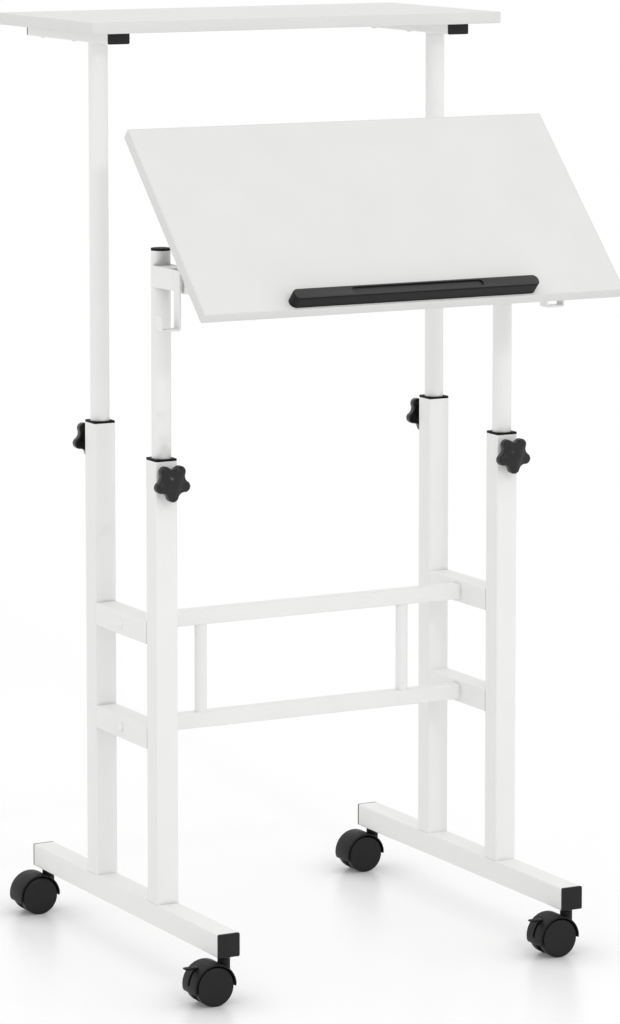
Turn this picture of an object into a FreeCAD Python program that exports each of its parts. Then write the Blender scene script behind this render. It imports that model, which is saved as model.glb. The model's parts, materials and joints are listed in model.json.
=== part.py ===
# Sit-stand desk on castors: a welded tube frame, a shelf and a tilting desk panel, each on
# two posts that slide in the columns and are clamped by star knobs.
# Millimetres and degrees, +Z up, floor at z = 0, the user in front towards -Y.

import FreeCAD, Part
import math
import os

V = FreeCAD.Vector

# posts, guide collars and the square tube that they slide in
post_diameter = 25.0
post_wall = 1.5
slide_clearance = 0.05      # radial, every turning or sliding fit
fit_gap = 0.1               # between a plug or insert and the tube that holds it
collar_wall = 0.85          # thinnest wall of the guide sleeve
collar_depth = 60.0
collar_flange = 3.0
tube_wall = 1.5
tube_corner = 2.0
cap_flange = 3.0            # flat head of every end cap
cap_depth = 5.0             # plug of every end cap
same_place = 0.01           # two edges closer than this are the same edge

# base frame
foot_length = 550.0
post_spacing_x = 500.0
post_spacing_y = 180.0
front_column_length = 571.0
rear_column_length = 597.0
upper_rail_height = 347.5   # centre line above the feet
lower_rail_height = 211.5
crossbar_side = 20.0
crossbar_wall = 1.5
spindle_diameter = 16.0
spindle_wall = 1.2
spindle_spacing = 300.0

# bolts between rails and crossbars
bolt_diameter = 6.0
bolt_grip = 12.0            # length inside the crossbar
bolt_head_diameter = 12.0
bolt_head_height = 3.5
nut_block_length = 16.0

# star knobs that clamp the posts
knob_drop = 25.0            # below the top of the column
stud_diameter = 8.0
stud_tip_gap = 0.1          # to the post
clamp_boss_diameter = 14.0
clamp_boss_length = 5.0
knob_gap = 1.5              # knob neck to clamp boss
knob_neck_diameter = 18.0
knob_neck_length = 4.0
knob_thickness = 16.0
knob_lobes = 5
knob_lobe_radius = 7.4
knob_lobe_centre = 17.3
knob_valley_centre = 26.2
knob_rounding = 2.5

# shelf
shelf_width = 600.0
shelf_depth = 300.0
shelf_thickness = 15.0
shelf_rear_overhang = 211.0     # behind the axis of the rear posts
shelf_rise = 1106.0             # underside above the feet, as photographed
rear_post_length = 600.0
arm_width = 30.0
arm_height = 15.0
arm_wall = 1.2
arm_length = 250.0
arm_front_reach = 63.0          # in front of the axis of the rear posts
board_edge_rounding = 1.0
screw_diameter = 4.0
screw_head_diameter = 8.0
screw_head_height = 2.2
screw_bite = 11.0               # length inside a board
shelf_screw_inset = 20.0        # from the rear ends of the arms
shelf_screw_spacing = 97.0

# front posts with the tilt clevis
front_post_length = 480.0
front_post_rise = 841.0         # top of the cap above the feet, as photographed
clevis_plate = 2.0
clevis_height = 27.0
clevis_rear_gap = 4.0           # rear ends of the plates, in front of the post's axis
clevis_web_gap = 30.0           # front end of the web on top, behind the pivot
pivot_drop = 34.5               # pivot below the top of the front post
pivot_forward = 79.0            # pivot in front of the post's axis
pivot_diameter = 8.0
nut_diameter = 13.0
nut_height = 6.0
washer_thickness = 1.0
washer_diameter = 14.0
washer_gap = 0.1

# release levers
lever_thickness = 2.5
lever_width = 16.0
lever_gap = 0.3
lever_drop = 61.0               # pivot to the underside of the lip
lever_lip_reach = 25.0          # outwards from the lever's outer face
lever_lip_rise = 20.0           # height of the lip's turned-up end
lever_bend = 0.5                # inside radius

# desk panel
tilt_angle = 45.0
panel_width = 600.0
panel_depth = 300.0
panel_thickness = 15.0
pivot_to_panel = 67.0           # square to the panel's underside
pivot_to_front_edge = 118.5     # along the panel
bracket_plate = 2.5
bracket_front_reach = 85.0      # from the pivot, along the panel
bracket_rear_reach = 50.0
bracket_width = 64.0
bracket_eye_radius = 14.5
bracket_screw_inset_x = 10.0
bracket_screw_inset_y = 12.0

# pen ledge with the tablet slot
ledge_length = 350.0
ledge_depth = 17.0
ledge_height = 18.0
ledge_inset = 3.0               # from the panel's front edge
ledge_shift = -5.0              # its middle, to the left of the panel's middle
ledge_corner = 8.0
ledge_rounding = 2.5
slot_length = 187.0
slot_width = 10.0
slot_depth = 5.0
ledge_screw_spacing = 140.0
ledge_screw_bite = 8.0

# twin-wheel castors, all trailing to the left
wheel_diameter = 50.0
wheel_rounding = 1.5
wheel_gap = 0.4                 # wheel to the body between the wheels
castor_width = 38.0
castor_body_width = 12.0
castor_trail = 20.0
hood_gap = 2.0
hood_wall = 2.0
hood_recess = 0.4               # wheel face behind the edge of the hood
hood_start_angle = -2.0         # on the stem's side
hood_end_angle = 198.0
hub_radius = 9.0
castor_headroom = 6.0           # top of the hood to the foot
castor_inset = 15.0             # stem from the end of the foot
axle_diameter = 6.0
axle_end_cover = 3.0            # wheel face in front of the axle's end
stem_diameter = 8.0
stem_depth = 22.0
stem_collar_diameter = 16.0
stem_collar_height = 3.0
stem_thread_length = 12.0
stem_seat_gap = 0.3

# brake pedals of the front castors
pedal_thickness = 4.0
pedal_side_gap = 0.4
pedal_ring_diameter = 14.0
pedal_arm_width = 5.0
pedal_angle = 132.0
pedal_travel = 18.0
pedal_slot_above = 8.0          # the hood's slot, up from the pedal at rest
pedal_slot_below = 46.0         # and down
pedal_tab_width = 9.0
pedal_tab_length = 15.5
pedal_tab_height = 3.0
pedal_tab_gap = 0.4             # to the outside of the hood

# sizes and places that follow
post_radius = post_diameter / 2
collar_bore_radius = post_radius + slide_clearance
tube_inside = 2 * (collar_bore_radius + collar_wall + fit_gap)
tube_side = tube_inside + 2 * tube_wall
wheel_radius = wheel_diameter / 2
hood_inner_radius = wheel_radius + hood_gap
hood_radius = hood_inner_radius + hood_wall
foot_bottom = wheel_radius + hood_radius + castor_headroom
foot_top = foot_bottom + tube_side
front_column_top = foot_top + front_column_length
rear_column_top = foot_top + rear_column_length
shelf_bottom = foot_top + shelf_rise
arm_bottom = shelf_bottom - arm_height
front_post_top = foot_top + front_post_rise
pivot_z = front_post_top - pivot_drop
ledge_front = pivot_to_front_edge - ledge_inset
ledge_top = pivot_to_panel + panel_thickness + ledge_height
tilt = math.radians(tilt_angle)
front_reach = (post_spacing_y / 2 + pivot_forward
               + ledge_front * math.cos(tilt) + ledge_top * math.sin(tilt))
rear_reach = post_spacing_y / 2 + shelf_rear_overhang
mid_y = (front_reach - rear_reach) / 2
front_post_y = mid_y - post_spacing_y / 2
rear_post_y = mid_y + post_spacing_y / 2
pivot_y = front_post_y - pivot_forward
pivot_radius = pivot_diameter / 2
pivot_bore_radius = pivot_radius + slide_clearance
panel_front_y = pivot_y - pivot_to_front_edge
panel_bottom = pivot_z + pivot_to_panel
panel_top = panel_bottom + panel_thickness
clevis_half = post_radius + clevis_plate
eye_half = post_radius - washer_gap - washer_thickness
lever_inner = clevis_half + lever_gap
lever_outer = lever_inner + lever_thickness
screw_radius = screw_diameter / 2
stud_radius = stud_diameter / 2
sides = (("left", -1), ("right", 1))
ends = (("front", -1, front_post_y, front_column_top), ("rear", 1, rear_post_y, rear_column_top))


def side_x(sign):
    return sign * post_spacing_x / 2


def pivot_at(x):
    return V(x, pivot_y, pivot_z)


def box(x, y, z):
    return Part.makeBox(x[1] - x[0], y[1] - y[0], z[1] - z[0], V(x[0], y[0], z[0]))


def rod(radius, start, end):
    return Part.makeCylinder(radius, (end - start).Length, start, end - start)


def ring(radius, bore, start, end):
    return rod(radius, start, end).cut(rod(bore, start, end))


def rounded(shape, radius, wanted):
    return shape.makeFillet(radius, [edge for edge in shape.Edges if wanted(edge)])


def edge_along(axis):
    def wanted(edge):
        line = edge.Vertexes[-1].Point - edge.Vertexes[0].Point
        return line.Length > 0 and line.normalize().cross(axis).Length < same_place
    return wanted


def edge_over(x, z):
    def wanted(edge):
        middle = edge.CenterOfMass
        near = abs(middle.x - x) < same_place and abs(middle.z - z) < same_place
        return near and edge_along(V(0, 1, 0))(edge)
    return wanted


def bar(width, height, length, corner):
    solid = box((-width / 2, width / 2), (-height / 2, height / 2), (0, length))
    if corner > 0:
        solid = rounded(solid, corner, edge_along(V(0, 0, 1)))
    return solid


def tube(width, height, wall, length):
    inner_corner = max(tube_corner - wall, 0)
    hollow = bar(width - 2 * wall, height - 2 * wall, length, inner_corner)
    return bar(width, height, length, tube_corner).cut(hollow)


def along_x(shape, start):
    shape.rotate(V(), V(0, 1, 0), 90)
    shape.translate(start)
    return shape


def along_y(shape, start):
    shape.rotate(V(), V(1, 0, 0), -90)
    shape.translate(start)
    return shape


def upright(shape, start):
    shape.translate(start)
    return shape


def save(node, solids):
    Part.makeCompound(solids).exportStep("parts/" + node + ".step")


def end_cap(width, height, wall, y, outwards):
    """A flat-headed cap and its plug, closing a tube that runs along Y and is centred on it."""
    plug_width = width - 2 * (wall + fit_gap)
    plug_height = height - 2 * (wall + fit_gap)
    head = bar(width, height, cap_flange, tube_corner)
    plug = bar(plug_width, plug_height, cap_depth, 0)
    head = along_y(head, V(0, y if outwards > 0 else y - cap_flange, 0))
    plug = along_y(plug, V(0, y - cap_depth if outwards > 0 else y, 0))
    return head.fuse(plug)


def screw_up(x, y, z, grip, bite):
    """A screw driven upwards, its head under z."""
    head = rod(screw_head_diameter / 2, V(x, y, z - screw_head_height), V(x, y, z))
    return head.fuse(rod(screw_radius, V(x, y, z), V(x, y, z + grip + bite)))


def screw_hole(x, y, z, depth):
    return rod(screw_radius + slide_clearance, V(x, y, z), V(x, y, z + depth))


def tilted(shape):
    """Turn a piece that is modelled with the panel level up to the photographed slope."""
    shape.rotate(V(0, pivot_y, pivot_z), V(1, 0, 0), tilt_angle)
    return shape


def make_feet():
    tube_length = foot_length - 2 * cap_flange
    stem_hole_radius = stem_diameter / 2 + fit_gap
    centre_z = foot_bottom + tube_side / 2
    caps = []
    for name, sign in sides:
        x = side_x(sign)
        foot = tube(tube_side, tube_side, tube_wall, tube_length)
        foot = along_y(foot, V(x, mid_y - tube_length / 2, centre_z))
        for end in (-1, 1):
            y = mid_y + end * (foot_length / 2 - castor_inset)
            foot = foot.cut(rod(stem_hole_radius, V(x, y, foot_bottom), V(x, y, foot_bottom + tube_wall)))
            cap = end_cap(tube_side, tube_side, tube_wall, end * tube_length / 2, end)
            cap.translate(V(x, mid_y, centre_z))
            caps.append(cap)
        save(name + "_foot", [foot])
    save("foot_end_caps", caps)


def make_columns():
    stud_hole_radius = stud_radius + 2 * fit_gap
    sleeve_side = tube_inside - 2 * fit_gap
    collars = []
    bosses = []
    for name, sign in sides:
        x = side_x(sign)
        for end, outwards, y, top in ends:
            knob_z = top - knob_drop
            face_y = y + outwards * tube_side / 2
            stud_hole = rod(stud_hole_radius, V(x, y, knob_z), V(x, face_y, knob_z))
            column = tube(tube_side, tube_side, tube_wall, top - foot_top)
            column = upright(column, V(x, y, foot_top)).cut(stud_hole)
            save(name + "_" + end + "_column", [column])
            sleeve = bar(sleeve_side, sleeve_side, collar_depth, tube_corner / 2)
            sleeve = upright(sleeve, V(x, y, top - collar_depth))
            flange = upright(bar(tube_side, tube_side, collar_flange, tube_corner), V(x, y, top))
            bore = rod(collar_bore_radius, V(x, y, top - collar_depth), V(x, y, top + collar_flange))
            collars.append(sleeve.fuse(flange).cut(bore).cut(stud_hole))
            boss_end = V(x, face_y + outwards * clamp_boss_length, knob_z)
            bosses.append(ring(clamp_boss_diameter / 2, stud_radius + slide_clearance,
                               V(x, face_y, knob_z), boss_end))
    save("column_collars", collars)
    save("clamp_bosses", bosses)


def make_rails():
    rail_length = post_spacing_y - tube_side
    bar_length = post_spacing_x - tube_side
    bolt_radius = bolt_diameter / 2
    block_side = crossbar_side - 2 * (crossbar_wall + fit_gap)
    bolts = []
    for level, rise in (("upper", upper_rail_height), ("lower", lower_rail_height)):
        z = foot_top + rise
        crossbar = tube(crossbar_side, crossbar_side, crossbar_wall, bar_length)
        pieces = [along_x(crossbar, V(-bar_length / 2, mid_y, z))]
        for name, sign in sides:
            x = side_x(sign)
            outer_x = x + sign * tube_side / 2
            inner_x = x - sign * tube_side / 2
            tip_x = inner_x - sign * bolt_grip
            bolt_hole = rod(bolt_radius + fit_gap, V(outer_x, mid_y, z), V(inner_x, mid_y, z))
            rail = tube(tube_side, tube_side, tube_wall, rail_length)
            rail = along_y(rail, V(x, mid_y - rail_length / 2, z))
            save(name + "_" + level + "_rail", [rail.cut(bolt_hole)])
            block_x = min(inner_x, inner_x - sign * nut_block_length)
            block = along_x(bar(block_side, block_side, nut_block_length, 0), V(block_x, mid_y, z))
            thread = rod(bolt_radius + slide_clearance, V(inner_x, mid_y, z), V(tip_x, mid_y, z))
            pieces.append(block.cut(thread))
            head_end = V(outer_x + sign * bolt_head_height, mid_y, z)
            head = rod(bolt_head_diameter / 2, V(outer_x, mid_y, z), head_end)
            bolts.append(head.fuse(rod(bolt_radius, V(outer_x, mid_y, z), V(tip_x, mid_y, z))))
        save(level + "_crossbar", pieces)
    save("crossbar_bolts", bolts)
    low = foot_top + lower_rail_height + crossbar_side / 2
    high = foot_top + upper_rail_height - crossbar_side / 2
    spindles = []
    for sign in (-1, 1):
        x = sign * spindle_spacing / 2
        radius = spindle_diameter / 2
        spindles.append(ring(radius, radius - spindle_wall, V(x, mid_y, low), V(x, mid_y, high)))
    save("crossbar_spindles", spindles)


def star_face(y):
    """The star knob's outline in the XZ plane, one lobe pointing down."""
    half_step = math.pi / knob_lobes
    span = math.sqrt(knob_lobe_centre ** 2 + knob_valley_centre ** 2
                     - 2 * knob_lobe_centre * knob_valley_centre * math.cos(half_step))
    valley_radius = span - knob_lobe_radius

    def point(radius, angle):
        return V(radius * math.cos(angle), y, radius * math.sin(angle))

    def meeting(lobe_angle, valley_angle):
        lobe = point(knob_lobe_centre, lobe_angle)
        valley = point(knob_valley_centre, valley_angle)
        return lobe + (valley - lobe) * (knob_lobe_radius / span)

    edges = []
    for step in range(knob_lobes):
        angle = -math.pi / 2 + 2 * half_step * step
        before = meeting(angle, angle - half_step)
        after = meeting(angle, angle + half_step)
        tip = point(knob_lobe_centre + knob_lobe_radius, angle)
        dip = point(knob_valley_centre - valley_radius, angle + half_step)
        following = meeting(angle + 2 * half_step, angle + half_step)
        edges.append(Part.Arc(before, tip, after).toShape())
        edges.append(Part.Arc(after, dip, following).toShape())
    return Part.Face(Part.Wire(edges))


def make_knobs():
    for name, sign in sides:
        x = side_x(sign)
        for end, outwards, y, top in ends:
            knob_z = top - knob_drop
            neck_y = tube_side / 2 + clamp_boss_length + knob_gap
            star_y = neck_y + knob_neck_length
            head = star_face(outwards * star_y).extrude(V(0, outwards * knob_thickness, 0))
            head = rounded(head, knob_rounding, lambda edge: not edge_along(V(0, 1, 0))(edge))
            neck = rod(knob_neck_diameter / 2, V(0, outwards * neck_y, 0), V(0, outwards * star_y, 0))
            tip_y = outwards * (post_radius + stud_tip_gap)
            root_y = outwards * (star_y + knob_thickness / 2)
            hole = rod(stud_radius + slide_clearance, V(0, outwards * neck_y, 0), V(0, root_y, 0))
            head = head.fuse(neck).cut(hole)
            stud = rod(stud_radius, V(0, tip_y, 0), V(0, root_y, 0))
            for piece in (head, stud):
                piece.translate(V(x, y, knob_z))
            save(name + "_" + end + "_knob", [head, stud])


def make_shelf():
    front_y = rear_post_y + shelf_rear_overhang - shelf_depth
    arm_front = rear_post_y - arm_front_reach
    arm_rear = arm_front + arm_length
    last_screw_y = arm_rear - shelf_screw_inset
    tube_length = arm_length - 2 * cap_flange
    arm_z = arm_bottom + arm_height / 2
    shelf = box((-shelf_width / 2, shelf_width / 2), (front_y, front_y + shelf_depth),
                (shelf_bottom, shelf_bottom + shelf_thickness))
    shelf = shelf.makeFillet(board_edge_rounding, shelf.Edges)
    caps = []
    screws = []
    for name, sign in sides:
        x = side_x(sign)
        arm = tube(arm_width, arm_height, arm_wall, tube_length)
        arm = along_y(arm, V(x, arm_front + cap_flange, arm_z))
        for y in (last_screw_y, last_screw_y - shelf_screw_spacing):
            arm = arm.cut(screw_hole(x, y, arm_bottom, arm_height))
            shelf = shelf.cut(screw_hole(x, y, shelf_bottom, screw_bite))
            screws.append(screw_up(x, y, arm_bottom, arm_height, screw_bite))
        for end in (-1, 1):
            cap = end_cap(arm_width, arm_height, arm_wall, end * tube_length / 2, end)
            cap.translate(V(x, (arm_front + arm_rear) / 2, arm_z))
            caps.append(cap)
        save(name + "_shelf_arm", [arm])
        low = V(x, rear_post_y, arm_bottom - rear_post_length)
        high = V(x, rear_post_y, arm_bottom)
        save(name + "_rear_post", [ring(post_radius, post_radius - post_wall, low, high)])
    save("top_shelf", [shelf])
    save("shelf_arm_caps", caps)
    save("shelf_screws", screws)


def make_front_posts():
    tube_top = front_post_top - cap_flange
    post_bottom = front_post_top - front_post_length
    clevis_bottom = pivot_z - clevis_height / 2
    clevis_top = pivot_z + clevis_height / 2
    caps = []
    nuts = []
    for name, sign in sides:
        x = side_x(sign)
        y = front_post_y
        bore = post_radius - post_wall
        save(name + "_front_post", [ring(post_radius, bore, V(x, y, post_bottom), V(x, y, tube_top))])
        head = rod(post_radius, V(x, y, tube_top), V(x, y, front_post_top))
        caps.append(head.fuse(rod(bore - fit_gap, V(x, y, tube_top - cap_depth), V(x, y, tube_top))))
        reach_y = (pivot_y - lever_width / 2, y - clevis_rear_gap)
        outside = box((x - clevis_half, x + clevis_half), reach_y, (clevis_bottom, clevis_top))
        channel = box((x - post_radius, x + post_radius), reach_y, (clevis_bottom, clevis_top))
        web_y = (pivot_y + clevis_web_gap, y - clevis_rear_gap)
        web = box((x - post_radius, x + post_radius), web_y, (clevis_top - clevis_plate, clevis_top))
        web = web.cut(rod(post_radius, V(x, y, clevis_bottom), V(x, y, clevis_top)))
        pivot_hole = rod(pivot_bore_radius, pivot_at(x - clevis_half), pivot_at(x + clevis_half))
        save(name + "_tilt_clevis", [outside.cut(channel).fuse(web).cut(pivot_hole)])
        inside_x = x - sign * clevis_half
        nuts.append(ring(nut_diameter / 2, pivot_bore_radius, pivot_at(inside_x),
                         pivot_at(inside_x - sign * nut_height)))
    save("front_post_caps", caps)
    save("pivot_nuts", nuts)


def make_levers():
    """Flat strips on the ends of the pivot bolts, bent outwards and up again into a finger hook."""
    y = (pivot_y - lever_width / 2, pivot_y + lever_width / 2)
    low = pivot_z - lever_drop
    top = pivot_z + clevis_height / 2
    lip_end = lever_outer + lever_lip_reach
    lip_inner = lip_end - lever_thickness
    for name, sign in sides:
        outline = [V(lever_inner, y[0], top), V(lever_inner, y[0], low), V(lip_end, y[0], low),
                   V(lip_end, y[0], low + lever_lip_rise), V(lip_inner, y[0], low + lever_lip_rise),
                   V(lip_inner, y[0], low + lever_thickness),
                   V(lever_outer, y[0], low + lever_thickness), V(lever_outer, y[0], top)]
        strip = Part.Face(Part.makePolygon(outline + outline[:1])).extrude(V(0, lever_width, 0))
        for x in (lever_outer, lip_inner):
            strip = rounded(strip, lever_bend, edge_over(x, low + lever_thickness))
        for x in (lever_inner, lip_end):
            strip = rounded(strip, lever_bend + lever_thickness, edge_over(x, low))
        bolt = rod(pivot_radius, pivot_at(-clevis_half - nut_height), pivot_at(lever_inner))
        for node, piece in ((name + "_tilt_lever", strip), (name + "_pivot_bolt", bolt)):
            if sign < 0:
                piece = piece.mirror(V(), V(1, 0, 0))
            piece.translate(V(side_x(sign), 0, 0))
            save(node, [piece])


def eye_tangent(x, reach):
    """Where a straight edge from the end of a bracket's flange meets the eye."""
    drop = pivot_to_panel - bracket_plate
    lean = math.acos(bracket_eye_radius / math.hypot(reach, drop))
    angle = math.atan2(drop, reach) - math.copysign(lean, reach)
    return pivot_at(x) + V(0, math.cos(angle), math.sin(angle)) * bracket_eye_radius


def make_panel():
    """The desk panel, its two brackets and the pen ledge, modelled level and then tilted."""
    panel = box((-panel_width / 2, panel_width / 2), (panel_front_y, panel_front_y + panel_depth),
                (panel_bottom, panel_top))
    panel = panel.makeFillet(board_edge_rounding, panel.Edges)
    flange_bottom = panel_bottom - bracket_plate
    flange_y = (pivot_y - bracket_front_reach, pivot_y + bracket_rear_reach)
    screw_rows = (flange_y[0] + bracket_screw_inset_y, flange_y[1] - bracket_screw_inset_y)
    eye_inner = eye_half - bracket_plate
    screws = []
    washers = []
    for name, sign in sides:
        x = side_x(sign)
        flange = box((x - bracket_width / 2, x + bracket_width / 2), flange_y, (flange_bottom, panel_bottom))
        outline = [V(x, flange_y[0], flange_bottom), V(x, flange_y[1], flange_bottom),
                   eye_tangent(x, bracket_rear_reach), eye_tangent(x, -bracket_front_reach)]
        cheek = Part.Face(Part.makePolygon(outline + outline[:1])).extrude(V(bracket_plate, 0, 0))
        cheek = cheek.fuse(rod(bracket_eye_radius, pivot_at(x), pivot_at(x + bracket_plate)))
        cheek = cheek.cut(rod(pivot_bore_radius, pivot_at(x), pivot_at(x + bracket_plate)))
        cheek_left = cheek.copy()
        cheek_left.translate(V(-eye_half, 0, 0))
        cheek.translate(V(eye_inner, 0, 0))
        bracket = flange.fuse(cheek_left).fuse(cheek)
        for step_x in (-1, 1):
            start = pivot_at(x + step_x * eye_half)
            finish = pivot_at(x + step_x * (eye_half + washer_thickness))
            washers.append(tilted(ring(washer_diameter / 2, pivot_bore_radius, start, finish)))
            for screw_y in screw_rows:
                screw_x = x + step_x * (bracket_width / 2 - bracket_screw_inset_x)
                bracket = bracket.cut(screw_hole(screw_x, screw_y, flange_bottom, bracket_plate))
                panel = panel.cut(screw_hole(screw_x, screw_y, panel_bottom, screw_bite))
                screws.append(tilted(screw_up(screw_x, screw_y, flange_bottom, bracket_plate, screw_bite)))
        save(name + "_panel_bracket", [tilted(bracket)])
    save("panel_screws", screws)
    save("pivot_washers", washers)

    ledge_y = panel_front_y + ledge_inset + ledge_depth / 2
    ledge = bar(ledge_length, ledge_depth, ledge_height, ledge_corner)
    ledge = upright(ledge, V(ledge_shift, ledge_y, panel_top))
    ledge_face = panel_top + ledge_height
    ledge = rounded(ledge, ledge_rounding, lambda edge: abs(edge.CenterOfMass.z - ledge_face) < same_place)
    half_slot = (slot_length - slot_width) / 2
    slot_x = (ledge_shift - half_slot, ledge_shift + half_slot)
    slot_z = (ledge_face - slot_depth, ledge_face)
    slot = box(slot_x, (ledge_y - slot_width / 2, ledge_y + slot_width / 2), slot_z)
    for x in slot_x:
        slot = slot.fuse(rod(slot_width / 2, V(x, ledge_y, slot_z[0]), V(x, ledge_y, slot_z[1])))
    ledge = ledge.cut(slot)
    ledge_screws = []
    for step in (-1, 0, 1):
        x = ledge_shift + step * ledge_screw_spacing
        panel = panel.cut(screw_hole(x, ledge_y, panel_bottom, panel_thickness))
        ledge = ledge.cut(screw_hole(x, ledge_y, panel_top, ledge_screw_bite))
        ledge_screws.append(tilted(screw_up(x, ledge_y, panel_bottom, panel_thickness, ledge_screw_bite)))
    save("desk_panel", [tilted(panel)])
    save("pen_ledge", [tilted(ledge)])
    save("ledge_screws", ledge_screws)


def sector(radius, start_angle, end_angle, half_width):
    """A wedge of a disc about the Y axis, angles counted from +X towards +Z."""
    wedge = Part.makeCylinder(radius, 2 * half_width, V(), V(0, 0, 1), end_angle - start_angle)
    wedge.rotate(V(), V(0, 0, 1), start_angle)
    wedge.translate(V(0, 0, -half_width))
    wedge.rotate(V(), V(1, 0, 0), 90)
    return wedge


def disc(radius, half_width):
    return rod(radius, V(0, -half_width, 0), V(0, half_width, 0))


def pedal_room(angle):
    """The slot that the pedal's arm needs in the hood at one angle."""
    half_slot = pedal_thickness / 2 + pedal_side_gap
    half_height = pedal_arm_width / 2 + pedal_side_gap
    room = box((0, 2 * hood_radius), (-half_slot, half_slot), (-half_height, half_height))
    room.rotate(V(), V(0, 1, 0), -angle)
    return room


def castor_hood(braked):
    """Hood over both wheels and the body between them, about the axle at the origin."""
    half_width = castor_width / 2
    half_body = castor_body_width / 2
    half_slot = pedal_thickness / 2 + pedal_side_gap
    seat = foot_bottom - wheel_radius - stem_collar_height - stem_seat_gap
    hood = sector(hood_radius, hood_start_angle, hood_end_angle, half_width).fuse(disc(hub_radius, half_body))
    hood = hood.fuse(rod(stem_collar_diameter / 2, V(castor_trail, 0, 0), V(castor_trail, 0, seat)))
    for sign in (-1, 1):
        room = rod(hood_inner_radius, V(0, sign * half_body, 0), V(0, sign * half_width, 0))
        hood = hood.cut(room)
    pin_bottom = V(castor_trail, 0, seat - stem_depth)
    pin_hole = rod(stem_diameter / 2 + slide_clearance, pin_bottom, V(castor_trail, 0, seat))
    hood = hood.cut(pin_hole).cut(disc(axle_diameter / 2 + slide_clearance, half_body))
    if braked:
        pressed_angle = pedal_angle + pedal_travel
        hood = hood.cut(disc(pedal_ring_diameter / 2 + pedal_side_gap, half_slot))
        slot_ends = (pedal_angle - pedal_slot_above, pedal_angle + pedal_slot_below)
        hood = hood.cut(sector(hood_radius, *slot_ends, half_slot))
        hood = hood.cut(pedal_room(pedal_angle)).cut(pedal_room(pressed_angle))
    return hood


def brake_pedal():
    """A ring on the axle, an arm out through the hood and a tab for the toe."""
    half_thickness = pedal_thickness / 2
    tab_start = hood_radius + pedal_tab_gap
    arm = box((0, tab_start + pedal_tab_height / 2), (-half_thickness, half_thickness),
              (-pedal_arm_width / 2, pedal_arm_width / 2))
    arm.rotate(V(), V(0, 1, 0), -pedal_angle)
    angle = math.radians(pedal_angle)
    root = V(tab_start * math.cos(angle), 0, tab_start * math.sin(angle))
    tab_x = (root.x - pedal_tab_length, root.x + pedal_tab_height)
    tab_y = (-pedal_tab_width / 2, pedal_tab_width / 2)
    tab_z = (root.z, root.z + pedal_tab_height)
    tab = box(tab_x, tab_y, tab_z).cut(disc(tab_start, pedal_tab_width))
    pedal = disc(pedal_ring_diameter / 2, half_thickness).fuse(arm).fuse(tab)
    return pedal.cut(disc(axle_diameter / 2 + slide_clearance, half_thickness))


def castor_wheel(sign):
    inner_y = castor_body_width / 2 + wheel_gap
    face_y = castor_width / 2 - hood_recess
    wheel = rod(wheel_radius, V(0, sign * inner_y, 0), V(0, sign * face_y, 0))
    wheel = wheel.makeFillet(wheel_rounding, [edge for edge in wheel.Edges if len(edge.Vertexes) == 1])
    bore_end = face_y - axle_end_cover + fit_gap
    axle_room = axle_diameter / 2 + slide_clearance
    return wheel.cut(rod(axle_room, V(0, sign * inner_y, 0), V(0, sign * bore_end, 0)))


def make_castors():
    axle_half = castor_width / 2 - hood_recess - axle_end_cover
    stem_radius = stem_diameter / 2
    stems = []
    for name, sign in sides:
        x = side_x(sign)
        for end, end_sign in (("front", -1), ("rear", 1)):
            y = mid_y + end_sign * (foot_length / 2 - castor_inset)
            axle_at = V(x - castor_trail, y, wheel_radius)
            seat = foot_bottom - stem_collar_height
            thread_top = foot_bottom + tube_wall + stem_thread_length
            stem = rod(stem_radius, V(x, y, seat - stem_depth), V(x, y, thread_top))
            stem = stem.fuse(rod(stem_collar_diameter / 2, V(x, y, seat), V(x, y, foot_bottom)))
            nut_seat = foot_bottom + tube_wall
            nut = ring(nut_diameter / 2, stem_radius + slide_clearance, V(x, y, nut_seat),
                       V(x, y, nut_seat + nut_height))
            stems.extend([stem, nut])
            castor = name + "_" + end
            hood = castor_hood(end == "front")
            axle = disc(axle_diameter / 2, axle_half)
            save(castor + "_castor_hood", [upright(hood, axle_at), upright(axle, axle_at)])
            save(castor + "_outer_wheel", [upright(castor_wheel(end_sign), axle_at)])
            save(castor + "_inner_wheel", [upright(castor_wheel(-end_sign), axle_at)])
            if end == "front":
                save(name + "_brake_pedal", [upright(brake_pedal(), axle_at)])
    save("castor_stems", stems)


os.makedirs("parts", exist_ok=True)
make_feet()
make_columns()
make_rails()
make_knobs()
make_shelf()
make_front_posts()
make_levers()
make_panel()
make_castors()
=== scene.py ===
import json
import math

import bmesh
import bpy
from mathutils import Matrix, Vector


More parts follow.
